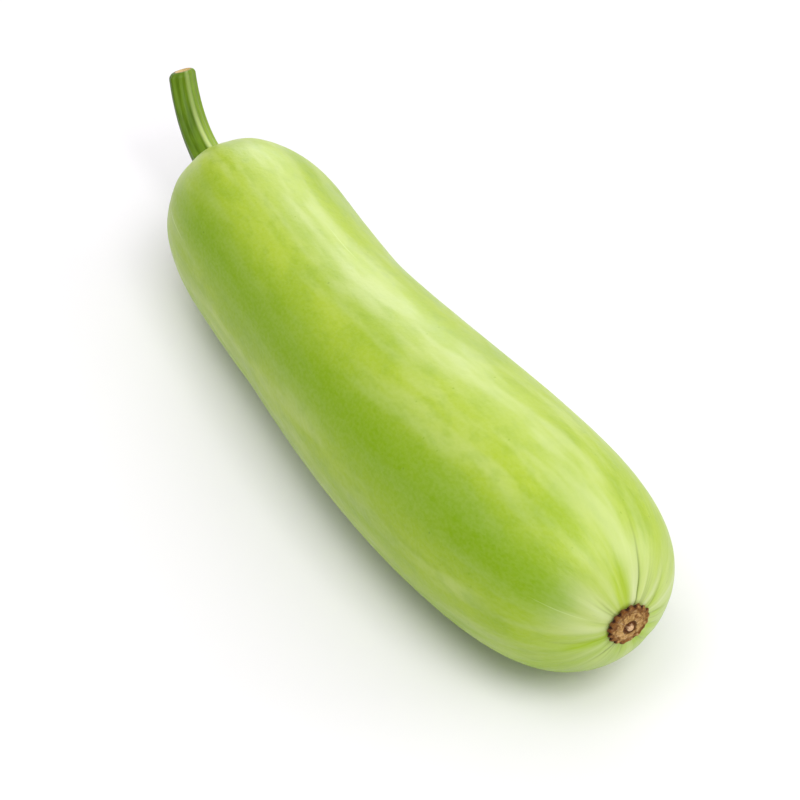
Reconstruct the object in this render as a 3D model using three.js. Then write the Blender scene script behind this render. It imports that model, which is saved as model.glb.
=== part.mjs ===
import * as THREE from 'three';
import { mergeVertices } from 'three/addons/utils/BufferGeometryUtils.js';

// A bottle gourd as picked, lying on its side. Millimetres, +Z up, the blossom end towards +X.
// It is three grown pieces: the fruit, the cut length of stalk and the corky blossom scar.
// "Along" runs from the stalk end to the blossom end. "Around" is an angle in degrees about
// that axis, 0 at the +Y side, 90 on top, 180 at the -Y side and 270 underneath.

// Outline of the fruit, as the radius at four places along its axis
const fruitLength = 300;
const shoulderAt = 55.7;
const shoulderRadius = 35.8;
const neckAt = 105.3;
const neckRadius = 35.8;
const bulgeAt = 217.5;
const bulgeRadius = 41.7;

// How full the outline is between those places: each is a share of the stretch it bends over
const stalkEndFullness = { across: 0.57, along: 0.69 };
const shoulderFullness = { start: 0.434, end: 0.426 };
const neckFullness = { start: 0.13, end: 0.371 };
const blossomEndFullness = { along: 0.625, across: 0.86 };

// Sideways bend of the axis: its depth towards +Y, its lean to one end and its flattening
const bendDepth = -10.6;
const bendLean = 2.1;
const bendFlattening = 4.8;

// The skin gives where the fruit lies, which leaves a small flat under the bulge and the shoulder
const restingGive = 0.4;

// Flat seats under the stalk and the scar, and the clearance to what grows on them
const stalkSeatRadius = 8.1;
const scarSeatRadius = 9.2;
const seatBlend = 4;
const seatClearance = 0.3;

// Creases drawn together round the scar: where each leaves its rim, how far round it drifts in ten
// millimetres, how deep it is at the rim and how far it runs from it
const creases = [
  { around: 18, drift: 12, depth: 0.4, reach: 14 },
  { around: 67, drift: 0, depth: 0.55, reach: 24 },
  { around: 97, drift: -4, depth: 0.45, reach: 16 },
  { around: 128, drift: -3, depth: 0.45, reach: 10 },
  { around: 156, drift: -6, depth: 0.3, reach: 12 },
  { around: 193, drift: -5, depth: 0.5, reach: 22 },
  { around: 233, drift: -6, depth: 0.4, reach: 9 },
  { around: 261, drift: 3, depth: 0.35, reach: 8 },
  { around: 298, drift: 5, depth: 0.4, reach: 15 },
  { around: 328, drift: 2, depth: 0.3, reach: 10 },
  { around: 355, drift: -9, depth: 0.35, reach: 10 },
];
const creaseWidth = 1.6;
const creaseSpread = 0.06;
const scarPuff = 0.5;
const scarPuffReach = 14;

// Soft ribs that run out from the stalk, and the slow unevenness of the whole skin
const shoulderRibs = 10;
const shoulderRibDepth = 0.4;
const shoulderRibDrift = 0.4;
const shoulderRibReach = 42;
const unevenness = 0.15;
const unevenLength = 46;
const thirdWave = { height: 0.6, length: 0.7, start: 1 };

// Stalk: it leaves nearly along the axis of the fruit and curves up to its cut end. A rise is
// counted from the axis and a swing from the XZ plane, both in degrees
const stalkRadius = 5.2;
const stalkBaseRadius = 6.9;
const stalkBaseReach = 22;
const stalkReachOut = 29.5;
const stalkReachUp = 28;
const stalkBaseSwing = -2;
const stalkTipRise = 62;
const stalkTipSwing = -19;
const stalkRibs = 5;
const stalkRibHeight = 0.42;
const stalkFurrowHeight = 0.2;
const stalkFurrowTurn = 0.6;
const stalkCutSlant = 12;
const stalkCutFrom = 0.6;
// The rim of the cut is worn round: how far in from the end each of its rings lies, and its size
const stalkCutRings = [
  { fromEnd: 0, size: 0.64 },
  { fromEnd: 0.75, size: 0.9 },
  { fromEnd: 2.4, size: 1 },
];
const stalkTrimTo = 0.3;

// Blossom scar: a corky disc with a scalloped rim, a ring groove and a knob in the middle
const scarRadius = 8.5;
const scarSquash = 0.94;
const scarThickness = 1.6;
const scarRimRounding = 0.6;
const scarRimSlope = 0.95;
const scarDish = 0.25;
const scarLobes = 17;
const scarLobeDepth = 0.4;
const scarLobeBias = 0.3;
const scarLobeDrift = 0.9;
const scarLobesFrom = 0.75;
const grooveRadius = 2.4;
const grooveSlope = 0.6;
const grooveFloor = 0.6;
const knobRadius = 1.35;
const knobHeight = 2.3;

// The groove and the knob sit off the middle of the scar, and the face stretches to let them
const knobShift = { y: 0.3, z: -1.3 };
const knobShiftWithin = { from: 3, to: 7 };

// Fineness of the surfaces
const fruitSides = 96;
const fruitRings = { stalkEnd: 9, shoulder: 5, neck: 10, blossomEnd: 16 };
const ringCrowding = 1.4;
const stalkSides = 40;
const stalkRings = 22;
const scarSides = 85;
const knobSteps = 4;
const leastRingGap = { stalkEnd: 1, blossomEnd: 0.6 };
const halvings = 40;

const skinMaterial = new THREE.MeshStandardMaterial({ color: 0xa9c64c, roughness: 0.38, metalness: 0 });
const stalkMaterial = new THREE.MeshStandardMaterial({ color: 0x668a24, roughness: 0.5, metalness: 0 });
const corkMaterial = new THREE.MeshStandardMaterial({ color: 0x8d6236, roughness: 0.85, metalness: 0 });

const restingTilt = -Math.atan((bulgeRadius - shoulderRadius) / (bulgeAt - shoulderAt));
const restingLevel = restingGive - bulgeRadius * Math.cos(restingTilt) - bulgeAt * Math.sin(restingTilt);

// Shares vertices, drops triangles with no area and leaves only positions
function closed(geometry) {
  geometry.deleteAttribute('normal');
  geometry.deleteAttribute('uv');
  const merged = mergeVertices(geometry, 1e-4);
  const corners = merged.index.array;
  const kept = [];
  for (let i = 0; i < corners.length; i += 3) {
    const [a, b, c] = [corners[i], corners[i + 1], corners[i + 2]];
    if (a !== b && b !== c && c !== a) kept.push(a, b, c);
  }
  merged.setIndex(kept);
  return merged;
}

// Moves every vertex of a geometry by a function that changes the vector it is given
function reshape(geometry, change) {
  const position = geometry.attributes.position;
  const point = new THREE.Vector3();
  for (let i = 0; i < position.count; i++) {
    point.fromBufferAttribute(position, i);
    change(point, i);
    position.setXYZ(i, point.x, point.y, point.z);
  }
}

// Turns an outline of (radius, along) points about the X axis
function turned(outline, sides) {
  const geometry = closed(new THREE.LatheGeometry(outline, sides));
  geometry.rotateZ(-Math.PI / 2);
  return geometry;
}

// Sideways place of the axis at a share of the length, and the slope there
function bend(share) {
  const lean = 2 * share - 1;
  return 4 * share * (1 - share) * (bendDepth + bendLean * lean + bendFlattening * lean * lean);
}

function bendSlope(share) {
  const step = 1e-3;
  return (bend(share + step) - bend(share - step)) / (2 * step * fruitLength);
}

// The four stretches of the outline, each a Bezier curve of (radius, along)
function fruitStretches() {
  const stretch = (...corners) => new THREE.CubicBezierCurve(
    ...corners.map(([along, radius]) => new THREE.Vector2(radius, along)));
  const toNeck = neckAt - shoulderAt;
  const toBulge = bulgeAt - neckAt;
  const toEnd = fruitLength - bulgeAt;
  return {
    stalkEnd: stretch(
      [0, 0],
      [0, stalkEndFullness.across * shoulderRadius],
      [shoulderAt * (1 - stalkEndFullness.along), shoulderRadius],
      [shoulderAt, shoulderRadius]),
    shoulder: stretch(
      [shoulderAt, shoulderRadius],
      [shoulderAt + shoulderFullness.start * toNeck, shoulderRadius],
      [neckAt - shoulderFullness.end * toNeck, neckRadius],
      [neckAt, neckRadius]),
    neck: stretch(
      [neckAt, neckRadius],
      [neckAt + neckFullness.start * toBulge, neckRadius],
      [bulgeAt - neckFullness.end * toBulge, bulgeRadius],
      [bulgeAt, bulgeRadius]),
    blossomEnd: stretch(
      [bulgeAt, bulgeRadius],
      [bulgeAt + blossomEndFullness.along * toEnd, bulgeRadius],
      [fruitLength, blossomEndFullness.across * bulgeRadius],
      [fruitLength, 0]),
  };
}

// Where along the axis a stretch reaches a radius, found by halving
function alongAtRadius(stretch, radius) {
  const rising = stretch.getPoint(0).x < stretch.getPoint(1).x;
  let low = 0;
  let high = 1;
  for (let i = 0; i < halvings; i++) {
    const middle = (low + high) / 2;
    const beyond = stretch.getPoint(middle).x > radius;
    if (beyond === rising) high = middle;
    else low = middle;
  }
  return stretch.getPoint(low).y;
}

// Depth of the creases, ribs and unevenness, outwards from the smooth outline
function skinRelief(along, radius, around) {
  const toScar = fruitLength - along;
  const fromRim = Math.max(Math.hypot(toScar, radius) - scarSeatRadius, 0);
  let relief = -unevenness * Math.sin(2 * around + along / unevenLength);
  const wound = 3 * around - along / (thirdWave.length * unevenLength) + thirdWave.start;
  relief -= thirdWave.height * unevenness * Math.sin(wound);
  relief += scarPuff * Math.exp(-fromRim / scarPuffReach);
  for (const crease of creases) {
    const turn = around - THREE.MathUtils.degToRad(crease.around + (crease.drift * fromRim) / 10);
    const across = radius * Math.atan2(Math.sin(turn), Math.cos(turn));
    const width = creaseWidth + creaseSpread * fromRim;
    relief -= crease.depth * Math.exp(-((across / width) ** 2) - ((fromRim / crease.reach) ** 2));
  }
  const rib = 0.5 - 0.5 * Math.cos(shoulderRibs * around + shoulderRibDrift * Math.sin(2 * around));
  relief -= shoulderRibDepth * rib * Math.exp(-((along / shoulderRibReach) ** 2));
  const seat = along < fruitLength / 2 ? stalkSeatRadius : scarSeatRadius;
  const nearEnd = Math.min(along, toScar) < seat;
  return nearEnd ? relief * THREE.MathUtils.smoothstep(radius, seat, seat + seatBlend) : relief;
}

const stretches = fruitStretches();
const stalkSeatAt = alongAtRadius(stretches.stalkEnd, stalkSeatRadius);
const scarSeatAt = alongAtRadius(stretches.blossomEnd, scarSeatRadius);

// The fruit: one skin turned from the outline, given its relief, bent, and flattened where it lies
function makeFruit() {
  const outline = [new THREE.Vector2(0, stalkSeatAt), new THREE.Vector2(stalkSeatRadius, stalkSeatAt)];
  for (const [name, stretch] of Object.entries(stretches)) {
    const rings = fruitRings[name];
    for (let i = 1; i <= rings; i++) {
      const share = name === 'blossomEnd' ? 1 - (1 - i / rings) ** ringCrowding : i / rings;
      const point = stretch.getPoint(share);
      const least = point.y < bulgeAt ? stalkSeatRadius + leastRingGap.stalkEnd
        : scarSeatRadius + leastRingGap.blossomEnd;
      if (point.x > least) outline.push(point);
    }
  }
  outline.push(new THREE.Vector2(scarSeatRadius, scarSeatAt), new THREE.Vector2(0, scarSeatAt));
  const geometry = turned(outline, fruitSides);
  geometry.computeVertexNormals();
  const outwards = geometry.attributes.normal;
  const normal = new THREE.Vector3();
  reshape(geometry, (point, i) => {
    const radius = Math.hypot(point.y, point.z);
    normal.fromBufferAttribute(outwards, i);
    point.addScaledVector(normal, skinRelief(point.x, radius, Math.atan2(point.z, point.y)));
    const share = point.x / fruitLength;
    point.x -= bendSlope(share) * point.y;
    point.y += bend(share);
    const height = point.z * Math.cos(restingTilt) - point.x * Math.sin(restingTilt) - restingLevel;
    if (height < 0) {
      point.x += height * Math.sin(restingTilt);
      point.z -= height * Math.cos(restingTilt);
    }
  });
  return new THREE.Mesh(geometry, skinMaterial);
}

// Direction away from the stalk end for a rise and a swing
function stalkHeading(rise, swing) {
  const up = THREE.MathUtils.degToRad(rise);
  const aside = THREE.MathUtils.degToRad(swing);
  return new THREE.Vector3(-Math.cos(up) * Math.cos(aside), -Math.cos(up) * Math.sin(aside), Math.sin(up));
}

// The stalk: a ribbed section drawn out straight, flared, curved, and trimmed to its seat and its cut
function makeStalk() {
  const section = new THREE.Shape();
  const corners = [];
  for (let i = 0; i < stalkSides; i++) {
    const around = (i / stalkSides) * 2 * Math.PI;
    const rib = stalkRibHeight * Math.cos(stalkRibs * around);
    const furrow = stalkFurrowHeight * Math.cos(2 * stalkRibs * around + stalkFurrowTurn);
    const radius = stalkRadius + rib + furrow;
    corners.push(new THREE.Vector2(radius * Math.cos(around), radius * Math.sin(around)));
  }
  section.setFromPoints(corners);

  const seatFacing = new THREE.Vector3(-1, -bendSlope(0), 0).normalize();
  const leaving = stalkHeading(0, stalkBaseSwing);
  const tip = stalkHeading(stalkTipRise, stalkTipSwing);
  const foot = new THREE.Vector3(stalkSeatAt, 0, 0).addScaledVector(seatFacing, seatClearance);
  const knee = foot.clone().addScaledVector(leaving, stalkReachOut);
  const end = knee.clone().addScaledVector(tip, stalkReachUp);
  const path = new THREE.QuadraticBezierCurve3(foot, knee, end);
  const length = path.getLength();

  const geometry = closed(new THREE.ExtrudeGeometry(section, {
    depth: length, steps: stalkRings, bevelEnabled: false, curveSegments: 1,
  }));
  const side = leaving.clone().cross(tip).normalize();
  const slant = Math.tan(THREE.MathUtils.degToRad(stalkCutSlant));
  const leastWorn = stalkCutRings[0].size;
  reshape(geometry, (point) => {
    const worn = stalkCutRings[Math.round((1 - point.z / length) * stalkRings)];
    const along = worn ? length - worn.fromEnd : point.z;
    const share = Math.min(along / length, 1);
    const flare = 1 + (stalkBaseRadius / stalkRadius - 1) * Math.exp(-along / stalkBaseReach);
    const plain = stalkRadius / Math.hypot(point.x, point.y);
    const size = worn ? worn.size * THREE.MathUtils.lerp(plain, 1, (worn.size - leastWorn) / (1 - leastWorn)) : 1;
    const across = point.y * flare * size;
    const outer = point.x * flare * size;
    const place = path.getPointAt(share);
    const heading = path.getTangentAt(share);
    const offset = side.clone().multiplyScalar(across).addScaledVector(side.clone().cross(heading), outer);
    const cut = THREE.MathUtils.smoothstep(share, stalkCutFrom, 1) * slant * across;
    const offSeat = offset.dot(seatFacing) / heading.dot(seatFacing);
    const trim = (THREE.MathUtils.smoothstep(share, 0, stalkTrimTo) - 1) * offSeat;
    point.copy(place).add(offset).addScaledVector(heading, cut + trim);
  });
  return new THREE.Mesh(geometry, stalkMaterial);
}

// The blossom scar: turned from its own outline, with a scalloped rim, and set on its seat
function makeScar() {
  const faceHeight = scarThickness - scarDish;
  const outline = [
    [0, 0],
    [scarRadius - scarRimRounding, 0],
    [scarRadius, scarThickness / 4],
    [scarRadius - scarRimSlope / 2, scarThickness * 0.8],
    [scarRadius - scarRimSlope, scarThickness],
    [scarRadius - scarRimSlope - scarRimRounding, faceHeight],
    [(scarRadius + grooveRadius) / 2, faceHeight],
    [grooveRadius + grooveSlope, faceHeight],
    [grooveRadius, grooveFloor],
    [knobRadius + grooveSlope / 2, grooveFloor],
  ];
  for (let i = 0; i <= knobSteps; i++) {
    const turn = (i / knobSteps) * Math.PI / 2;
    outline.push([knobRadius * Math.cos(turn), faceHeight + (knobHeight - faceHeight) * Math.sin(turn)]);
  }
  const geometry = turned(outline.map(([radius, height]) => new THREE.Vector2(radius, height)), scarSides);
  reshape(geometry, (point) => {
    const radius = Math.hypot(point.y, point.z);
    const around = Math.atan2(point.z, point.y);
    const rim = THREE.MathUtils.smoothstep(radius, scarLobesFrom * scarRadius, scarRadius);
    const lobe = Math.cos(scarLobes * around + scarLobeDrift * Math.sin(2 * around));
    const scale = 1 + (rim * scarLobeDepth * (lobe - scarLobeBias)) / scarRadius;
    const shift = 1 - THREE.MathUtils.smoothstep(radius, knobShiftWithin.from, knobShiftWithin.to);
    point.y = point.y * scale + knobShift.y * shift;
    point.z = point.z * scale * scarSquash + knobShift.z * shift;
  });
  const mesh = new THREE.Mesh(geometry, corkMaterial);
  const facing = new THREE.Vector3(1, bendSlope(1), 0).normalize();
  mesh.quaternion.setFromUnitVectors(new THREE.Vector3(1, 0, 0), facing);
  mesh.position.set(scarSeatAt, 0, 0).addScaledVector(facing, seatClearance);
  return mesh;
}

const gourd = new THREE.Group();
const pieces = { fruit: makeFruit(), stalk: makeStalk(), blossom_scar: makeScar() };
for (const [name, mesh] of Object.entries(pieces)) {
  mesh.name = name;
  gourd.add(mesh);
}
gourd.rotation.y = restingTilt;
gourd.updateMatrixWorld(true);
const box = new THREE.Box3().setFromObject(gourd, true);
gourd.position.set(-(box.min.x + box.max.x) / 2, -(box.min.y + box.max.y) / 2, -box.min.z);

export default gourd;
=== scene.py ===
# A bottle gourd lying on a white floor: waxy green fruit, cut ribbed stalk, corky blossom scar.
import math

import bmesh
import bpy
import numpy as np
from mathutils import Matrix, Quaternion, Vector, noise
from mathutils.geometry import interpolate_bezier


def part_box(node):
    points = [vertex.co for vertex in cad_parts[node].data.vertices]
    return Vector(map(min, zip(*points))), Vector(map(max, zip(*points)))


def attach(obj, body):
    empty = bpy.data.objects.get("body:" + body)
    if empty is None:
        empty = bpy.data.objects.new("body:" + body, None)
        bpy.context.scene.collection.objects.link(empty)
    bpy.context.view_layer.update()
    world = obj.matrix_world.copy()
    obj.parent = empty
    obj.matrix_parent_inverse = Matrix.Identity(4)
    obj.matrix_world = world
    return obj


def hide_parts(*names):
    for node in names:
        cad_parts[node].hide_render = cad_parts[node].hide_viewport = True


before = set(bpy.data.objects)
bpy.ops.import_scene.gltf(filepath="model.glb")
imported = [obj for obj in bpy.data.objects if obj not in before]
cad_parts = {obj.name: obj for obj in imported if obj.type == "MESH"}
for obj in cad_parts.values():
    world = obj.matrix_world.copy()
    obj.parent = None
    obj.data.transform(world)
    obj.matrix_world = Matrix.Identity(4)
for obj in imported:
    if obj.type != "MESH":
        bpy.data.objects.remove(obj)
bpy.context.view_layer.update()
mm = 0.001               # shapes are worked out in millimetres and scaled at the end
weldWithin = 1e-4        # mm, points closer than this are made one
endWithin = 1e-3         # mm, points closer than this to the end of the stalk lie on its cut
print("frame loaded:", sorted(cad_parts))

# Camera, at the side and height that the photograph was taken from
view = {
    "aim": (22.2, 4.5, 29.5),       # mm, the point in the middle of the picture
    "azimuth": 60.56,               # degrees, 0 looks along +Y
    "elevation": 42.2,
    "roll": -0.62,
    "distance": 1100.0,
    "lens": 133.5,
}


def makeCamera():
    side, up = math.radians(view["azimuth"]), math.radians(view["elevation"])
    back = Vector((math.sin(side) * math.cos(up), -math.cos(side) * math.cos(up), math.sin(up)))
    camera = bpy.data.objects.new("camera", bpy.data.cameras.new("camera"))
    bpy.context.collection.objects.link(camera)
    camera.data.lens = view["lens"]
    camera.location = (Vector(view["aim"]) + back * view["distance"]) * mm
    roll = Quaternion((0, 0, 1), math.radians(view["roll"]))
    camera.rotation_euler = (back.to_track_quat("Z", "Y") @ roll).to_euler()
    bpy.context.scene.camera = camera


makeCamera()
print("camera placed")


# Mesh helpers

def rollOutline(outline, steps):
    # rolls a flat grid round the X axis into a closed shell through (along, radius) points
    bm = bmesh.new()
    rings = len(outline) - 1
    bmesh.ops.create_grid(bm, x_segments=rings, y_segments=steps, size=0.5)
    for vert in bm.verts:
        along, radius = outline[round((vert.co.x + 0.5) * rings)]
        turn = 2 * math.pi * (vert.co.y + 0.5)
        vert.co = (along, radius * math.cos(turn), radius * math.sin(turn))
    bmesh.ops.remove_doubles(bm, verts=bm.verts, dist=weldWithin)
    bmesh.ops.recalc_face_normals(bm, faces=bm.faces)
    mesh = bpy.data.meshes.new("shell")
    bm.to_mesh(mesh)
    bm.free()
    return mesh


def readPoints(mesh):
    points = np.empty(len(mesh.vertices) * 3)
    mesh.vertices.foreach_get("co", points)
    return points.reshape(-1, 3)


def polar(points):
    # along the axis, radius from it, and angle round it
    return points[:, 0], np.hypot(points[:, 1], points[:, 2]), np.arctan2(points[:, 2], points[:, 1])


def arcFrom(angle, radius, around):
    # distance round the axis from a line that lies at an angle
    turn = around - angle
    return radius * np.arctan2(np.sin(turn), np.cos(turn))


def smoothStep(value, low, high):
    share = np.clip((value - low) / (high - low), 0, 1)
    return share * share * (3 - 2 * share)


def bell(value, width):
    # 1 at 0, falling away softly to both sides
    return np.exp(-(value / width) ** 2)


def ringPlaces(along, around, size):
    # a point for noise on a cylinder, so that a pattern closes round the piece
    return np.stack([size * np.cos(around), size * np.sin(around), along], 1)


def noiseAt(places, scale):
    scaled = places * np.asarray(scale)
    return np.array([noise.noise(Vector(place)) for place in scaled])


def addAttributes(mesh, values):
    # numbers and places that the materials read
    for name, numbers in values.items():
        kind, field = ("FLOAT", "value") if numbers.ndim == 1 else ("FLOAT_VECTOR", "vector")
        attribute = mesh.attributes.new(name, kind, "POINT")
        attribute.data.foreach_set(field, numbers.astype(np.float32).ravel())


def addPiece(name, mesh, points, material, node):
    mesh.name = name
    mesh.vertices.foreach_set("co", (points * mm).ravel())
    mesh.shade_smooth()
    mesh.update()
    piece = bpy.data.objects.new(name, mesh)
    bpy.context.collection.objects.link(piece)
    mesh.materials.append(material)
    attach(piece, "root")
    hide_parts(node)
    print(name, "made with", len(mesh.polygons), "faces")


# Fruit. Lengths are millimetres, places along it are counted from the stalk end, and angles are degrees
fruit = {
    "length": 300.0,
    "shoulder": (55.7, 35.8),            # place along the axis, radius there
    "neck": (105.3, 35.8),
    "bulge": (217.5, 41.7),
    "stalkEndFullness": (0.57, 0.69),    # how far the outline keeps straight on at both ends of a stretch
    "shoulderFullness": (0.434, 0.426),
    "neckFullness": (0.13, 0.371),
    "blossomEndFullness": (0.625, 0.86),
    "bend": (-10.6, 2.1, 4.8),           # sideways depth, its lean to one end and its flattening
    "give": 0.4,                         # how far the skin flattens where it lies
    "stalkSeat": 8.1,                    # radius of the flat seat under the stalk
    "scarSeat": 9.2,
    "seatBlend": 4.0,                    # round a seat, the relief sets in over this width
    "seatRings": 8,
    "rings": (46, 20, 50, 96),           # steps along the four stretches of the outline
    "steps": 400,                        # steps round the axis
    # waves of unevenness: height, waves round the fruit, length (a minus turns it the other way) and start
    "unevenWaves": [(0.15, 2, 46.0, 0.0), (0.09, 3, -32.2, 1.0)],
    "shoulderRibs": 10,
    "shoulderRibDepth": 0.4,
    "shoulderRibReach": 42.0,
    "shoulderRibDrift": 0.4,
    "scarPuff": 0.5,                     # the skin swells towards the scar
    "scarPuffReach": 14.0,
    # creases round the scar: angle, drift, depth at the rim, reach from it and strength of the sharp fold
    "creases": [
        (18, 12, 0.4, 14, 0.5), (67, 0, 0.55, 24, 1.0), (97, -4, 0.45, 16, 0.08),
        (128, -3, 0.45, 10, 0.45), (156, -6, 0.3, 12, 0.1), (193, -5, 0.5, 22, 0.2),
        (233, -6, 0.4, 9, 0.85), (261, 3, 0.35, 8, 0.35), (298, 5, 0.4, 15, 0.5),
        (328, 2, 0.3, 10, 0.3), (355, -9, 0.35, 10, 0.5),
    ],
    "driftLength": 10.0,                 # a crease turns by its drift in this length
    "creaseWidth": 1.6,
    "creaseSpread": 0.06,                # how much wider it gets in a millimetre
    "foldWidth": 0.3,                    # the sharp fold at the bottom of each crease
    "foldSpread": 0.01,
    "foldDepth": 0.3,
    "foldReach": 0.8,                    # as a share of the reach of its crease
    "wander": 0.35,                      # how far a fold strays from the middle of its crease
    "wanderLength": 5.0,
    "wanderFrom": 8.0,                   # distance from the rim at which it strays in full
    "hairFolds": 8,                      # short fine folds between the creases
    "hairSeed": 11,
    "hairReach": (5, 14),
    "hairDepth": 0.08,
    "hairShade": 0.35,
    "hollowStrength": 1.6,               # greener skin in a crease, most where its fold is weak
    "hollowLimit": 1.25,
    "hollowWidth": 1.4,                  # as shares of the width and reach of its crease
    "hollowReach": 1.2,
    # height, width and length of the soft ripples that break up the highlight, and of the dimples
    "ripples": [(0.14, 12.0, 60.0), (0.045, 5.0, 10.0)],
    # lengthwise bands of pigment: angle, half width and strength, with pale ones below 0; the pale band at
    # 82 degrees runs along the top and is also a painted highlight
    "bands": [
        (144, 26, 0.72), (82, 21, -0.6), (30, 14, 0.25), (190, 16, -0.25),
        (235, 24, 0.5), (278, 22, -0.6), (325, 20, 0.6), (8, 18, -0.3),
    ],
    "sway": 6.0,                         # how far the bands stray to a side, and the size of that noise
    "swayWidth": 100.0,
    "swayLength": 70.0,
    "scarFade": (3.0, 20.0),             # from the scar's rim, where the bands end and are whole
    "stalkFade": (0.0, 60.0),            # the same from the stalk end
}
bulgeAt, bulgeRadius = fruit["bulge"]
neckAt, neckRadius = fruit["neck"]
shoulderAt, shoulderRadius = fruit["shoulder"]
restTilt = -math.atan((bulgeRadius - shoulderRadius) / (bulgeAt - shoulderAt))
restLevel = fruit["give"] - bulgeRadius * math.cos(restTilt) - bulgeAt * math.sin(restTilt)


def bend(share):
    depth, lean, flattening = fruit["bend"]
    off = 2 * share - 1
    return 4 * share * (1 - share) * (depth + lean * off + flattening * off * off)


def bendSlope(share):
    step = 1e-3
    return (bend(share + step) - bend(share - step)) / (2 * step * fruit["length"])


def fruitOutline():
    length = fruit["length"]
    across, along = fruit["stalkEndFullness"]
    start, end = fruit["shoulderFullness"]
    neckStart, neckEnd = fruit["neckFullness"]
    blossomAlong, blossomAcross = fruit["blossomEndFullness"]
    toNeck, toBulge, toEnd = neckAt - shoulderAt, bulgeAt - neckAt, length - bulgeAt
    stretches = [
        [(0, 0), (0, across * shoulderRadius),
         (shoulderAt * (1 - along), shoulderRadius), fruit["shoulder"]],
        [fruit["shoulder"], (shoulderAt + start * toNeck, shoulderRadius),
         (neckAt - end * toNeck, neckRadius), fruit["neck"]],
        [fruit["neck"], (neckAt + neckStart * toBulge, neckRadius),
         (bulgeAt - neckEnd * toBulge, bulgeRadius), fruit["bulge"]],
        [fruit["bulge"], (bulgeAt + blossomAlong * toEnd, bulgeRadius),
         (length, blossomAcross * bulgeRadius), (length, 0)],
    ]
    points = []
    for corners, count in zip(stretches, fruit["rings"]):
        corners = [Vector((*corner, 0)) for corner in corners]
        points += interpolate_bezier(*corners, count)[:-1]
    curve = np.array([(point.x, point.y) for point in points] + [(length, 0)])
    # a flat seat is cut at each end, square to the axis
    front, back = curve[curve[:, 0] < shoulderAt], curve[curve[:, 0] > bulgeAt]
    stalkSeatAt = np.interp(fruit["stalkSeat"], front[:, 1], front[:, 0])
    scarSeatAt = np.interp(fruit["scarSeat"], back[::-1, 1], back[::-1, 0])
    kept = curve[(curve[:, 0] > stalkSeatAt) & (curve[:, 0] < scarSeatAt)]
    first = [(stalkSeatAt, radius) for radius in np.linspace(0, fruit["stalkSeat"], fruit["seatRings"])]
    last = [(scarSeatAt, radius) for radius in np.linspace(fruit["scarSeat"], 0, fruit["seatRings"])]
    return first + [tuple(point) for point in kept] + last, stalkSeatAt, scarSeatAt


def creaseLines(along, radius, around):
    # soft valleys, sharp folds, how strongly each point lies in a fold for the painted shade there, and
    # the green hollows
    fromRim = np.maximum(np.hypot(fruit["length"] - along, radius) - fruit["scarSeat"], 0)
    valley, fold, shade, hollow = (np.zeros_like(along) for _ in range(4))
    for index, (angle, drift, depth, reach, line) in enumerate(fruit["creases"]):
        angle = np.radians(angle + drift * fromRim / fruit["driftLength"])
        across = arcFrom(angle, radius, around)
        width = fruit["creaseWidth"] + fruit["creaseSpread"] * fromRim
        valley += depth * bell(fromRim, reach) * bell(across, width)
        green = fruit["hollowStrength"] * depth * (fruit["hollowLimit"] - line)
        green = green * bell(across, fruit["hollowWidth"] * width)
        green *= bell(fromRim, fruit["hollowReach"] * reach)
        hollow = np.maximum(hollow, green)
        wander = fruit["wander"] * np.sin(fromRim / fruit["wanderLength"] + index)
        wander *= np.minimum(fromRim / fruit["wanderFrom"], 1)
        thin = fruit["foldWidth"] + fruit["foldSpread"] * fromRim
        sharp = line * bell(across + wander, thin) * bell(fromRim, fruit["foldReach"] * reach)
        fold += fruit["foldDepth"] * sharp
        shade = np.maximum(shade, sharp)
    draw = np.random.default_rng(fruit["hairSeed"])
    for _ in range(fruit["hairFolds"]):
        angle, reach = draw.uniform(0, 2 * math.pi), draw.uniform(*fruit["hairReach"])
        sharp = bell(arcFrom(angle, radius, around), fruit["foldWidth"]) * bell(fromRim, reach)
        fold += fruit["hairDepth"] * sharp
        shade = np.maximum(shade, fruit["hairShade"] * sharp)
    return valley, fold, shade, hollow, fromRim


def skinRelief(along, radius, around):
    # the same relief as the solid has, with finer folds, ripples and dimples on it
    valley, fold, shade, hollow, fromRim = creaseLines(along, radius, around)
    height = fruit["scarPuff"] * np.exp(-fromRim / fruit["scarPuffReach"]) - valley - fold
    for depth, waves, length, start in fruit["unevenWaves"]:
        height -= depth * np.sin(waves * around + along / length + start)
    drift = fruit["shoulderRibDrift"] * np.sin(2 * around)
    rib = 0.5 - 0.5 * np.cos(fruit["shoulderRibs"] * around + drift)
    height -= fruit["shoulderRibDepth"] * rib * bell(along, fruit["shoulderRibReach"])
    places = ringPlaces(along, around, neckRadius)
    for rise, width, length in fruit["ripples"]:
        height += rise * noiseAt(places, (1 / width, 1 / width, 1 / length))
    seat = np.where(along < bulgeAt, fruit["stalkSeat"], fruit["scarSeat"])
    nearEnd = np.minimum(along, fruit["length"] - along) < seat
    fade = smoothStep(radius, seat, seat + fruit["seatBlend"])
    return height * np.where(nearEnd, fade, 1), shade, hollow, fromRim


def pigmentAndHighlightTone(along, around, fromRim):
    # above 0 in the deep green bands and below 0 in the pale ones, of which the one along the top is also
    # a painted highlight
    scale = (1 / fruit["swayWidth"], 1 / fruit["swayWidth"], 1 / fruit["swayLength"])
    sway = fruit["sway"] * noiseAt(ringPlaces(along, around, neckRadius), scale)
    toneAndHighlight = np.zeros_like(along)
    for angle, width, strength in fruit["bands"]:
        off = np.degrees(arcFrom(np.radians(angle - sway), 1, around))
        toneAndHighlight += strength * bell(off, width)
    return toneAndHighlight * smoothStep(fromRim, *fruit["scarFade"]) * smoothStep(along, *fruit["stalkFade"])


def bendAxis(points):
    share = points[:, 0] / fruit["length"]
    bent = points.copy()
    bent[:, 0] -= bendSlope(share) * points[:, 1]
    bent[:, 1] += bend(share)
    return bent


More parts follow.
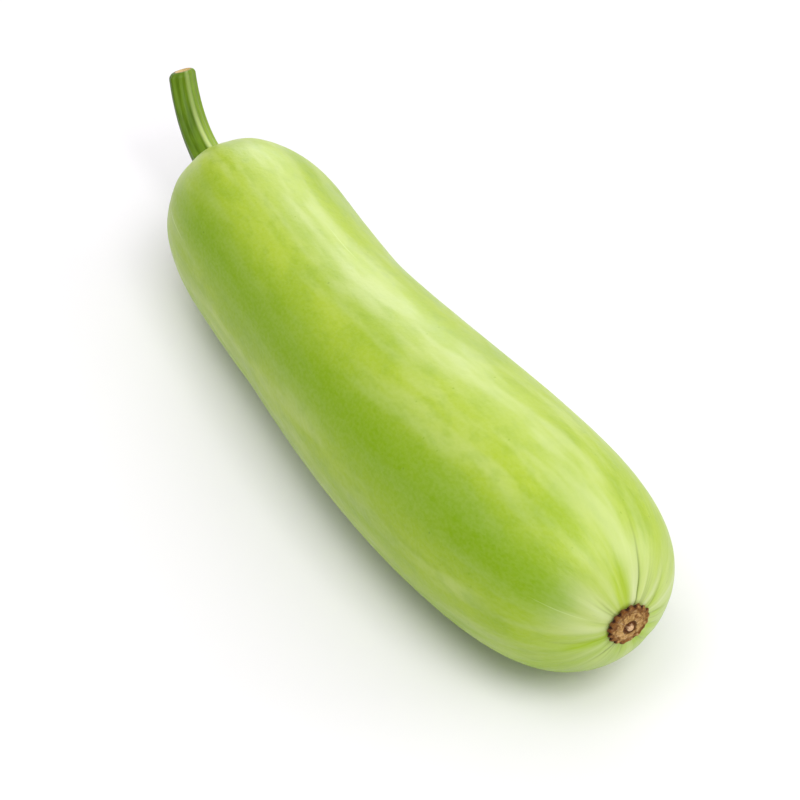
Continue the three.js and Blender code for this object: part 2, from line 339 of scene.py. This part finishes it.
def layDown(points):
    # presses the skin flat where it lies and tilts the fruit until shoulder and bulge both touch
    rise, run = math.sin(restTilt), math.cos(restTilt)
    laid = points.copy()
    height = np.minimum(laid[:, 2] * run - laid[:, 0] * rise - restLevel, 0)
    laid[:, 0] += height * rise
    laid[:, 2] -= height * run
    return np.stack([laid[:, 0] * run + laid[:, 2] * rise, laid[:, 1],
                     laid[:, 2] * run - laid[:, 0] * rise - restLevel], 1)


def nodeMiddle(node):
    low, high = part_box(node)
    return (np.array(low) + np.array(high)) / 2 / mm


def makeFruit(material):
    outline, stalkSeatAt, scarSeatAt = fruitOutline()
    mesh = rollOutline(outline, fruit["steps"])
    mesh.update()
    normals = np.empty(len(mesh.vertices) * 3)
    mesh.vertices.foreach_get("normal", normals)
    points = readPoints(mesh)
    along, radius, around = polar(points)
    height, shade, hollow, fromRim = skinRelief(along, radius, around)
    points += normals.reshape(-1, 3) * height[:, None]
    points = layDown(bendAxis(points))
    shift = nodeMiddle("fruit") - (points.min(0) + points.max(0)) / 2
    shift[2] = 0
    addAttributes(mesh, {
        "skinPlace": ringPlaces(along, around, neckRadius) * mm,
        "side": neckRadius * np.sin(around),
        "paintedCreaseShade": shade,
        "hollow": hollow,
        "toneAndHighlight": pigmentAndHighlightTone(along, around, fromRim),
        "fromScar": fromRim,
        "fromStalk": np.hypot(along, radius),
    })
    addPiece("gourd_skin", mesh, points + shift, material, "fruit")
    return stalkSeatAt, scarSeatAt, shift


# Stalk, drawn straight and then curved. Lengths are millimetres, angles are degrees
stalk = {
    "radius": 5.2,
    "baseRadius": 6.9,               # at the fruit, and how far up it narrows to the radius
    "baseReach": 22.0,
    "reachOut": 29.5,                # from the seat to the knee of its curve, and from there to the cut
    "reachUp": 28.0,
    "baseSwing": -2.0,               # headings at both ends of the curve
    "tipRise": 62.0,
    "tipSwing": -19.0,
    "ribs": 5,
    "ribHeight": 0.36,
    "ribSharpness": 2.4,
    "ribSink": 0.8,                  # share of the rib height that lies below the radius
    "crestFade": 3,                  # how fast the painted highlight on the crests fades away from the upper side
    "furrowHeight": 0.14,            # small furrows between and on the ribs
    "furrowTurn": 0.6,               # radians
    "fibreHeight": 0.05,
    "fibreGrain": (2.2, 2.2, 0.12),  # turns of noise in a millimetre, across and along
    "cutSlant": 9.0,
    "cutFrom": 0.6,                  # share of the length from which its rings begin to slant
    "cutShift": 0.9,                 # the worn end leans to one side
    "cutSize": 0.64,                 # the rim of the cut is worn round down to this share of the radius
    "cutRim": 0.999,                 # share of the radius at which the cut face begins
    "cutBlend": 0.12,                # share of the radius over which skin turns to pith
    "cutHollow": 0.5,
    "hollowBlend": 0.35,
    "cutRoughness": 0.12,
    "cutGrain": (1.6, 1.6, 1.6),
    "wornLength": 2.4,
    "trimTo": 0.3,                   # share of the length up to which its rings lean with the seat
    "clearance": 0.3,
    "pathSteps": 400,
    "rings": 110,
    "endRings": (6, 14, 16),         # across the seat, round the worn rim and across the cut
    "steps": 200,
}


def stalkHeading(rise, swing):
    up, aside = math.radians(rise), math.radians(swing)
    return np.array([-math.cos(up) * math.cos(aside), -math.cos(up) * math.sin(aside), math.sin(up)])


def stalkPath(foot, leaving, tip):
    # points and headings at even steps along a quadratic curve from the seat to the cut
    knee = foot + leaving * stalk["reachOut"]
    end = knee + tip * stalk["reachUp"]
    t = np.linspace(0, 1, stalk["pathSteps"])[:, None]
    track = (1 - t) ** 2 * foot + 2 * t * (1 - t) * knee + t * t * end
    heading = (1 - t) * (knee - foot) + t * (end - knee)
    travelled = np.concatenate([[0], np.cumsum(np.linalg.norm(np.diff(track, axis=0), axis=1))])
    return travelled, track, heading / np.linalg.norm(heading, axis=1)[:, None]


def stalkOutline(length):
    radius, worn = stalk["radius"], stalk["wornLength"]
    seatRings, wornRings, cutRings = stalk["endRings"]
    turns = np.linspace(0, math.pi / 2, wornRings)[1:]
    outline = [(0, out) for out in np.linspace(0, radius, seatRings)]
    outline += [(along, radius) for along in np.linspace(0, length - worn, stalk["rings"])[1:]]
    outline += [(length - worn + worn * math.sin(turn), radius) for turn in turns]
    outline += [(length, out) for out in np.linspace(radius * stalk["cutRim"], 0, cutRings)]
    return outline


def stalkRelief(along, around):
    # how far each point lies up a rib, and the height of ribs, furrows and fibres
    ridge = (0.5 + 0.5 * np.cos(stalk["ribs"] * around)) ** stalk["ribSharpness"]
    height = stalk["ribHeight"] * (2 * ridge - stalk["ribSink"])
    height += stalk["furrowHeight"] * np.cos(2 * stalk["ribs"] * around + stalk["furrowTurn"])
    places = ringPlaces(along, around, stalk["radius"])
    return ridge, height + stalk["fibreHeight"] * noiseAt(places, stalk["fibreGrain"])


def makeStalk(material, seatAt, shift):
    facing = np.array([-1, -bendSlope(0), 0])
    facing /= np.linalg.norm(facing)
    leaving, tip = stalkHeading(0, stalk["baseSwing"]), stalkHeading(stalk["tipRise"], stalk["tipSwing"])
    foot = np.array([seatAt, 0, 0]) + facing * stalk["clearance"]
    travelled, track, heading = stalkPath(foot, leaving, tip)
    length = travelled[-1]
    mesh = rollOutline(stalkOutline(length), stalk["steps"])
    points = readPoints(mesh)
    along, radius, around = polar(points)
    share = radius / stalk["radius"]

    # the section widens at the foot and is worn round at the cut
    ridge, height = stalkRelief(along, around)
    flare = 1 + (stalk["baseRadius"] / stalk["radius"] - 1) * np.exp(-along / stalk["baseReach"])
    worn = np.clip(1 - (length - along) / stalk["wornLength"], 0, 1)
    roundness = np.sqrt(1 - worn ** 2)
    size = stalk["cutSize"] + (1 - stalk["cutSize"]) * roundness
    section = (stalk["radius"] + height * roundness) * share * flare * size

    # the rings are set along the path, slanted towards the cut and trimmed to the seat
    side = np.cross(leaving, tip)
    side /= np.linalg.norm(side)
    place = np.stack([np.interp(along, travelled, track[:, axis]) for axis in range(3)], 1)
    ahead = np.stack([np.interp(along, travelled, heading[:, axis]) for axis in range(3)], 1)
    across = section * np.sin(around) + stalk["cutShift"] * (1 - roundness)
    offset = across[:, None] * side + (section * np.cos(around))[:, None] * np.cross(side, ahead)
    slant = math.tan(math.radians(stalk["cutSlant"])) * across
    slant *= smoothStep(along / length, stalk["cutFrom"], 1)
    trim = (smoothStep(along / length, 0, stalk["trimTo"]) - 1) * (offset @ facing) / (ahead @ facing)

    # the cut face is hollowed and rough
    atEnd = along > length - endWithin
    onCut = atEnd & (share < (1 + stalk["cutRim"]) / 2)
    hollow = stalk["cutHollow"] * smoothStep(1 - share, 0, stalk["hollowBlend"])
    rough = stalk["cutRoughness"] * noiseAt(points, stalk["cutGrain"])
    raised = slant + trim + np.where(onCut, rough - hollow, 0)
    pithShare = smoothStep(1 + stalk["cutBlend"] / 2 - share, 0, stalk["cutBlend"])
    addAttributes(mesh, {
        "stalkPlace": ringPlaces(along, around, stalk["radius"]) * mm,
        # crests of the upper side, which carry a painted highlight
        "rib": ridge * (0.5 + 0.5 * np.cos(around)) ** stalk["crestFade"],
        # the side of the stalk that is painted sunlit
        "sunSide": np.sin(around),
        "cutFace": np.where(atEnd, pithShare, 0),
        "fromFoot": along,
    })
    points = layDown(place + offset + ahead * raised[:, None]) + shift
    addPiece("cut_stalk", mesh, points, material, "stalk")


# Blossom scar. Lengths are millimetres
scar = {
    "radius": 8.5,
    "squash": 0.94,
    "thickness": 1.6,
    "rimHeights": (0.25, 0.8),       # shares of the thickness at which the rim is widest and half way in
    "rimRounding": 0.6,
    "rimSlope": 0.95,                # how far the rim leans in from its foot
    "dish": 0.25,
    "lobes": 17,
    "lobeDepth": 0.4,
    "lobeBias": 0.3,
    "lobeDrift": 0.9,                # radians by which lobes crowd on two sides
    "lobeUnevenness": 1.8,           # how far single lobes grow out or stay short
    "lobeGrain": (2.3, 2.3, 1.0),
    "lobesFrom": 0.75,               # share of the radius from which they set in
    "grooveRadius": 2.4,
    "grooveSlope": 0.6,
    "grooveFloor": 0.6,
    "knobRadius": 1.35,
    "knobHeight": 2.3,
    "knobRings": 9,
    "knobShift": (0.3, -1.3),        # groove and knob sit off the middle, and the face stretches with them
    "shiftWithin": (3.0, 7.0),       # radii up to which it shifts in full, and at which it stays
    "clearance": 0.3,
    "roughFrom": (0.3, 1.0),         # heights at which spokes and pits begin and are whole
    "spokeHeight": 0.14,             # fine ridges that run out from the knob
    "spokeRing": 6.0,                # radius of the ring that their noise is read on
    "spokeGrain": (2.4, 2.4, 0.35),  # turns of noise in a millimetre, round and outwards
    "spokesWhole": 5.0,
    "pitDepth": 0.12,
    "pitGrain": (0.9, 0.9, 0.9),
    "outlineStep": 0.22,
    "steps": 340,
}


def scarOutline():
    radius, thick, rounding = scar["radius"], scar["thickness"], scar["rimRounding"]
    grooveRadius, grooveFloor, grooveSlope = scar["grooveRadius"], scar["grooveFloor"], scar["grooveSlope"]
    face, inner = thick - scar["dish"], radius - scar["rimSlope"]
    foot, shoulder = (share * thick for share in scar["rimHeights"])
    coarse = [
        (0, 0), (0, radius - rounding), (foot, radius), (shoulder, radius - scar["rimSlope"] / 2),
        (thick, inner), (face, inner - rounding), (face, (radius + grooveRadius) / 2),
        (face, grooveRadius + grooveSlope), (grooveFloor, grooveRadius),
        (grooveFloor, scar["knobRadius"] + grooveSlope / 2),
    ]
    for turn in np.linspace(0, math.pi / 2, scar["knobRings"]):
        height = face + (scar["knobHeight"] - face) * math.sin(turn)
        coarse.append((height, scar["knobRadius"] * math.cos(turn)))
    fine = [coarse[0]]
    for start, end in zip(coarse, coarse[1:]):
        count = max(1, round(math.dist(start, end) / scar["outlineStep"]))
        fine += [tuple(point) for point in np.linspace(start, end, count + 1)[1:]]
    fine[-1] = (scar["knobHeight"], 0)
    return fine


def makeScar(material, seatAt, shift):
    mesh = rollOutline(scarOutline(), scar["steps"])
    points = readPoints(mesh)
    along, radius, around = polar(points)
    rim = smoothStep(radius, scar["lobesFrom"] * scar["radius"], scar["radius"])
    lobe = np.cos(scar["lobes"] * around + scar["lobeDrift"] * np.sin(2 * around))
    lobe += scar["lobeUnevenness"] * noiseAt(ringPlaces(0 * along, around, 1.0), scar["lobeGrain"])
    scale = 1 + rim * scar["lobeDepth"] * (lobe - scar["lobeBias"]) / scar["radius"]
    ring = ringPlaces(radius, around, scar["spokeRing"])
    spokes = scar["spokeHeight"] * noiseAt(ring, scar["spokeGrain"])
    spokes *= smoothStep(radius, scar["knobRadius"], scar["spokesWhole"])
    rough = spokes + scar["pitDepth"] * noiseAt(points, scar["pitGrain"])
    shiftShare = 1 - smoothStep(radius, *scar["shiftWithin"])
    points[:, 0] += smoothStep(along, *scar["roughFrom"]) * rough
    points[:, 1] = points[:, 1] * scale + scar["knobShift"][0] * shiftShare
    points[:, 2] = points[:, 2] * scale * scar["squash"] + scar["knobShift"][1] * shiftShare
    addAttributes(mesh, {
        "corkRing": ring * mm,
        "corkPlace": points * mm,
        "corkRadius": radius,
        "corkHeight": along,
        "corkLobe": rim * lobe,
    })
    facing = np.array([1, bendSlope(1), 0])
    facing /= np.linalg.norm(facing)
    across = np.array([-facing[1], facing[0], 0])
    placed = points[:, :1] * facing + points[:, 1:2] * across + points[:, 2:] * np.array([0, 0, 1])
    placed += np.array([seatAt, 0, 0]) + facing * scar["clearance"]
    addPiece("blossom_scar_cork", mesh, layDown(placed) + shift, material, "blossom_scar")


# Materials. Each look lists the attributes and patterns that its colours are laid by, and then the layers.
# A layer is a colour and its shares, which are multiplied. A share is a number, a value's name, or a name
# and the range that it is run through: from, to, and the shares at both where they aren't 0 and 1.
# A pattern is a place on the mesh, a size, a stretch along the axis, detail and roughness, in millimetres
markCore = 0.3           # a mark is whole within this share of its size


def toLinear(hexColour):
    # an sRGB colour such as "a9c64c" as linear red, green, blue and a full alpha
    parts = [int(hexColour[i:i + 2], 16) / 255 for i in (0, 2, 4)]
    return tuple(c / 12.92 if c <= 0.04045 else ((c + 0.055) / 1.055) ** 2.4 for c in parts) + (1,)


def addNode(tree, kind, inputs=None, **settings):
    node = tree.nodes.new(kind)
    for name, value in settings.items():
        setattr(node, name, value)
    for name, value in (inputs or {}).items():
        if isinstance(value, bpy.types.NodeSocket):
            tree.links.new(value, node.inputs[name])
        else:
            node.inputs[name].default_value = value
    return node


def shareOf(tree, values, factors):
    # the product of a layer's shares
    product = None
    for factor in factors:
        if isinstance(factor, str):
            factor = values[factor]
        elif isinstance(factor, tuple):
            name, low, high, *ends = factor
            least, most = ends or (0, 1)
            inputs = {"From Min": low, "From Max": high, "To Min": least, "To Max": most}
            inputs["Value"] = values[name]
            ramp = addNode(tree, "ShaderNodeMapRange", inputs, interpolation_type="SMOOTHSTEP")
            factor = ramp.outputs["Result"]
        if product is not None:
            inputs = {0: product, 1: factor}
            factor = addNode(tree, "ShaderNodeMath", inputs, operation="MULTIPLY").outputs[0]
        product = factor
    return product


def paintOver(tree, colour, layers, values, colours):
    # lays the layers over the first colour; a colour mix has its share at input 0, its colours at 6 and 7
    for name, *factors in layers:
        inputs = {0: shareOf(tree, values, factors), 6: colour, 7: colours[name]}
        colour = addNode(tree, "ShaderNodeMix", inputs, data_type="RGBA").outputs[2]
    return colour


def shrunkPlace(tree, name, stretch):
    # a place on the mesh, shrunk along the axis so that a pattern there comes out longer
    place = addNode(tree, "ShaderNodeAttribute", attribute_name=name).outputs["Vector"]
    inputs = {"Vector": place, "Scale": (1, 1, 1 / stretch)}
    return addNode(tree, "ShaderNodeMapping", inputs).outputs["Vector"]


def patchesOn(tree, place, size, stretch, detail, rough):
    # noise with patches of a size
    inputs = {
        "Vector": shrunkPlace(tree, place, stretch), "Scale": 1 / (size * mm), "Detail": detail,
        "Roughness": rough,
    }
    return addNode(tree, "ShaderNodeTexNoise", inputs).outputs["Fac"]


def marksOn(tree, place, spacing, size, chance, stretch):
    # round spots or short lines: one in each cell of a spacing, on a share of the cells
    inputs = {"Vector": shrunkPlace(tree, place, stretch), "Scale": 1 / (spacing * mm)}
    cells = addNode(tree, "ShaderNodeTexVoronoi", inputs)
    draw = addNode(tree, "ShaderNodeSeparateColor", {"Color": cells.outputs["Color"]}).outputs["Red"]
    chosen = addNode(tree, "ShaderNodeMath", {0: draw, 1: chance}, operation="LESS_THAN").outputs[0]
    values = {"away": cells.outputs["Distance"], "chosen": chosen}
    return shareOf(tree, values, [("away", size / spacing, markCore * size / spacing), "chosen"])


def startMaterial(name, look):
    # an empty material, the values that its layers are laid by, and its colours turned to linear
    material = bpy.data.materials.new(name)
    material.use_nodes = True
    tree = material.node_tree
    tree.nodes.clear()
    values = {}
    for attribute in look.get("attributes", ()):
        values[attribute] = addNode(tree, "ShaderNodeAttribute", attribute_name=attribute).outputs["Fac"]
    for pattern, shape in look.get("patterns", {}).items():
        values[pattern] = patchesOn(tree, *shape)
    for mark, shape in look.get("marks", {}).items():
        values[mark] = marksOn(tree, *shape)
    colours = {colour: toLinear(code) for colour, code in look["colours"].items()}
    return material, tree, values, colours


def finishMaterial(tree, look, colour, values):
    # the shader takes the painted colour, the look's own values and a bump of (pattern, strength, depth)
    inputs = {"Base Color": colour, **look["shader"]}
    if "gloss" in look:
        inputs["Roughness"] = shareOf(tree, values, [look["gloss"]])
    if "bump" in look:
        pattern, strength, depth = look["bump"]
        relief = {"Height": values[pattern], "Strength": strength, "Distance": depth * mm}
        inputs["Normal"] = addNode(tree, "ShaderNodeBump", relief).outputs["Normal"]
    shader = addNode(tree, "ShaderNodeBsdfPrincipled", inputs)
    addNode(tree, "ShaderNodeOutputMaterial", {"Surface": shader.outputs["BSDF"]})


rind = {
    "attributes": ("side", "paintedCreaseShade", "hollow", "toneAndHighlight", "fromScar", "fromStalk"),
    "patterns": {
        "streaks": ("skinPlace", 7, 6, 2, 0.5),
        "patches": ("skinPlace", 14, 2.5, 2, 0.4),
        "mottle": ("skinPlace", 3.5, 2, 2, 0.45),
        "rays": ("skinPlace", 13, 3, 2, 0.45),
        "grain": ("skinPlace", 1.2, 1.5, 2, 0.5),
        "dimples": ("skinPlace", 1.4, 1.6, 3, 0.5),
    },
    "marks": {                           # place, spacing, size, share of the cells that have one, stretch
        "pores": ("skinPlace", 5, 0.55, 0.4, 1),
        "rubs": ("skinPlace", 11, 0.6, 0.5, 1),
        "scratches": ("skinPlace", 6, 0.4, 0.9, 40),
    },
    "rayShare": ("rays", 0.35, 0.62, 0.45, 1),
    "colours": {
        "paintedShadedUnderside": "a0c01e", "paintedSunlit": "aec53a", "deep": "7ca408", "paleAndHighlight": "cedb92", "rub": "5f7f24",
        "scratch": "d5e59c", "paleScarSkinAndHighlight": "d8e0ac", "nearStalk": "bccb6a", "paintedCreaseShade": "5c6f12",
    },
    "layers": [
        # painted light: the base colour is a painted shaded underside, and the top is painted sunlit
        ("paintedSunlit", ("side", -20, 30)),
        ("paleAndHighlight", ("streaks", 0.42, 0.72, 0, 0.35)),
        ("deep", ("toneAndHighlight", 0, 1)),
        ("deep", ("patches", 0.55, 0.3, 0, 0.3)),
        ("deep", ("mottle", 0.55, 0.3, 0, 0.2)),
        # pale bands broken up by the streaks; along the top this is a painted highlight
        ("paleAndHighlight", ("toneAndHighlight", 0, -1), ("streaks", 0.38, 0.62, 0.45, 1)),
        ("paleAndHighlight", ("grain", 0.3, 0.7, 0, 0.08)),
        ("deep", "pores", 0.4),
        ("rub", "rubs", 0.45),
        ("scratch", "scratches", 0.4),
        # pale skin round the scar with a painted highlight on the puffs, weaker on the underside
        ("paleScarSkinAndHighlight", "puffAndHighlight", ("side", -30, 25, 0.6, 1), ("fromScar", 30, -2, 0, 0.9)),
        ("nearStalk", ("fromStalk", 50, 8, 0, 0.6)),
        # painted shade in the sharp folds
        ("paintedCreaseShade", "paintedCreaseShade", 0.8),
    ],
    "gloss": ("mottle", 0.3, 0.7, 0.3, 0.4),
    "bump": ("dimples", 0.28, 0.4),
    "shader": {
        "IOR": 1.42, "Specular IOR Level": 0.26, "Subsurface Weight": 0.12,
        "Subsurface Radius": (0.8, 1.0, 0.25), "Subsurface Scale": 0.004,
    },
}


def rindMaterial():
    # Rind of a young bottle gourd: thin, firm and waxed by the plant, so it shines softly
    material, tree, values, colours = startMaterial("waxyGourdRind", rind)
    # pale puffs run out from the scar in rays, partly pale skin and partly a painted highlight that is
    # weaker on the underside; the hollows between them stay green
    inputs = {0: shareOf(tree, values, [rind["rayShare"]]), 1: values["hollow"]}
    puffAndHighlight = addNode(tree, "ShaderNodeMath", inputs, operation="SUBTRACT", use_clamp=True)
    values["puffAndHighlight"] = puffAndHighlight.outputs[0]
    colour = paintOver(tree, colours["paintedShadedUnderside"], rind["layers"], values, colours)
    finishMaterial(tree, rind, colour, values)
    return material


stalkSkin = {
    "attributes": ("rib", "cutFace", "sunSide", "fromFoot"),
    "patterns": {
        "fibres": ("stalkPlace", 0.7, 18, 3, 0.5),
        "patches": ("stalkPlace", 6, 3, 2, 0.5),
        "pithGrain": ("stalkPlace", 0.8, 1, 3, 0.5),
    },
    "colours": {
        "dark": "4c6a08", "green": "66860a", "paintedSunlit": "9cb648", "fibre": "7a9a26", "furrow": "3d5c08",
        "paintedCrestHighlight": "cfe08e", "foot": "3c5a0c", "dryPith": "b8924c", "palePith": "e2c88a", "dryRim": "8a6226",
    },
    "layers": [                          # the painted sunlit side and the painted highlight on the crests are palest towards the fruit
        ("green", ("patches", 0.3, 0.7)),
        ("paintedSunlit", ("sunSide", -0.05, 0.45, 0, 0.95), ("fromFoot", 45, 8, 0.35, 1)),
        ("fibre", ("fibres", 0.4, 0.7, 0, 0.3)),
        ("furrow", ("fibres", 0.5, 0.25, 0, 0.35)),
        # painted highlight along the crests
        ("paintedCrestHighlight", ("rib", 0.3, 1, 0, 0.8), ("fromFoot", 45, 8, 0.35, 1)),
        # painted shadow near the foot, where the stalk meets the fruit
        ("foot", ("fromFoot", 14, 1, 0, 0.65)),
        ("pith", "cutFace"),
        ("dryRim", ("cutFace", 0, 0.3), ("cutFace", 1, 0.6)),
    ],
    "pithLayers": [("palePith", "pithGrain")],
    "bump": ("fibres", 0.35, 0.3),
    "shader": {
        "Roughness": 0.45, "Specular IOR Level": 0.22, "Subsurface Weight": 0.05,
        "Subsurface Scale": 0.002,
    },
}


def stalkMaterial():
    # Fruit stalk: tough green fibres under a thin skin, dull in the furrows, dry and tan where cut
    material, tree, values, colours = startMaterial("fibrousGreenStalk", stalkSkin)
    colours["pith"] = paintOver(tree, colours["dryPith"], stalkSkin["pithLayers"], values, colours)
    colour = paintOver(tree, colours["dark"], stalkSkin["layers"], values, colours)
    finishMaterial(tree, stalkSkin, colour, values)
    return material


cork = {
    "attributes": ("corkRadius", "corkHeight", "corkLobe"),
    "patterns": {
        "spokes": ("corkRing", 1.2, 1.67, 3, 0.5),
        "grain": ("corkPlace", 0.9, 1, 3, 0.6),
        "flakes": ("corkPlace", 2.1, 1, 3, 0.6),
    },
    "raggedness": 1.6,                   # how far the grain breaks up the edges of the groove and the knob
    "colours": {
        "tan": "ac8446", "paleTan": "cfa768", "flake": "754519", "spoke": "dcbc8c", "crack": "6e4220",
        "rim": "71400f", "ringLine": "5e3414", "paintedNotchShade": "4c260c", "wall": "36180a", "groove": "643616",
        "knobTan": "c79c6c", "knobPale": "e6c6a0",
    },
    "layers": [
        ("paleTan", ("grain", 0.35, 0.65)),
        ("flake", ("flakes", 0.5, 0.64, 0, 0.85)),
        ("spoke", ("spokes", 0.55, 0.7, 0, 0.55)),
        ("crack", ("spokes", 0.45, 0.32, 0, 0.6)),
        ("rim", ("corkRadius", 5.4, 6.8), ("flakes", 0.3, 0.5), 0.8),
        ("ringLine", ("corkRadius", 5.4, 5.7), ("corkRadius", 6.1, 5.8), 0.5),
        # painted shade in the notches between the lobes
        ("paintedNotchShade", ("corkLobe", 0, -0.8, 0, 0.8)),
        # painted shade on the rim's side wall, deepest in the notches
        ("wall", ("corkHeight", 1.45, 1), ("corkLobe", 0.5, -0.5, 0.45, 1)),
        ("groove", ("ragged", 3.7, 2.9, 0, 0.9)),
        ("knob", ("ragged", 2.4, 1.8)),
    ],
    "knobLayers": [("knobPale", ("spokes", 0.4, 0.65))],
    "bump": ("grain", 0.5, 0.3),
    "shader": {"Roughness": 0.8, "Specular IOR Level": 0.2},
}


def corkMaterial():
    # Blossom scar: dead cork, dark where it has cracked at the rim, with painted shade in the notches
    # between its lobes and on its side wall, pale and fibrous on its face
    material, tree, values, colours = startMaterial("dryCork", cork)
    inputs = {0: values["grain"], 1: cork["raggedness"], 2: values["corkRadius"]}
    values["ragged"] = addNode(tree, "ShaderNodeMath", inputs, operation="MULTIPLY_ADD").outputs[0]
    colours["knob"] = paintOver(tree, colours["knobTan"], cork["knobLayers"], values, colours)
    colour = paintOver(tree, colours["tan"], cork["layers"], values, colours)
    finishMaterial(tree, cork, colour, values)
    return material


stalkSeatAt, scarSeatAt, placeShift = makeFruit(rindMaterial())
makeStalk(stalkMaterial(), stalkSeatAt, placeShift)
makeScar(corkMaterial(), scarSeatAt, placeShift)

# Studio: a white floor under bright diffusers, with four softboxes round the gourd. Lengths are metres
studio = {
    "floorSize": 12.0,
    "paper": {"colours": {"white": "f3f1f4"}, "shader": {"Roughness": 0.9}},
    "ceiling": 0.8,                  # brightness of the diffusers overhead
    "ceilingFrom": (0.35, 0.6),      # rise above the horizon, as a sine, at which they begin and are whole
    "wall": 0.75,                    # the wall seen behind the floor from low down, which gives no light
    "softboxDistance": 2.5,
    "softboxes": {
        "front": {"azimuth": -5, "rise": 56, "width": 1.3, "height": 1.1, "power": 26},
        "behind": {"azimuth": 150, "rise": 16, "width": 1.15, "height": 1.15, "power": 17},
        "aside": {"azimuth": 60, "rise": 15, "width": 1.15, "height": 1.15, "power": 14},
        "above": {"azimuth": -75, "rise": 72, "width": 1.15, "height": 1.15, "power": 10},
    },
}


def makeFloor():
    bm = bmesh.new()
    bmesh.ops.create_grid(bm, x_segments=1, y_segments=1, size=studio["floorSize"] / 2)
    mesh = bpy.data.meshes.new("floor")
    bm.to_mesh(mesh)
    bm.free()
    floor = bpy.data.objects.new("floor", mesh)
    bpy.context.collection.objects.link(floor)
    # Heavy matt paper, rolled out flat, so it shows no gloss
    material, tree, values, colours = startMaterial("whitePaper", studio["paper"])
    finishMaterial(tree, studio["paper"], colours["white"], values)
    mesh.materials.append(material)


def addSoftbox(name, light):
    turn, rise = math.radians(light["azimuth"]), math.radians(light["rise"])
    towards = Vector((math.cos(turn) * math.cos(rise), math.sin(turn) * math.cos(rise), math.sin(rise)))
    lamp = bpy.data.lights.new(name, "AREA")
    lamp.shape = "RECTANGLE"
    lamp.size = light["width"]
    lamp.size_y = light["height"]
    lamp.energy = light["power"]
    softbox = bpy.data.objects.new(name, lamp)
    softbox.location = towards * studio["softboxDistance"]
    softbox.rotation_euler = towards.to_track_quat("Z", "Y").to_euler()
    bpy.context.collection.objects.link(softbox)


def lightRoom():
    world = bpy.data.worlds.new("studioRoom")
    world.use_nodes = True
    tree = world.node_tree
    direction = addNode(tree, "ShaderNodeTexCoord").outputs["Generated"]
    values = {
        "height": addNode(tree, "ShaderNodeSeparateXYZ", {"Vector": direction}).outputs["Z"],
        "seen": addNode(tree, "ShaderNodeLightPath").outputs["Is Camera Ray"],
    }
    ceiling = shareOf(tree, values, [("height", *studio["ceilingFrom"], 0, studio["ceiling"])])
    wall = shareOf(tree, values, ["seen", studio["wall"]])
    strength = addNode(tree, "ShaderNodeMath", {0: ceiling, 1: wall}, operation="MAXIMUM").outputs[0]
    background = tree.nodes["Background"]
    tree.links.new(strength, background.inputs["Strength"])
    background.inputs["Color"].default_value = (1, 1, 1, 1)
    bpy.context.scene.world = world
    bpy.context.scene.view_settings.view_transform = "Standard"


makeFloor()
for name, light in studio["softboxes"].items():
    addSoftbox(name + " softbox", light)
lightRoom()
print("studio ready")
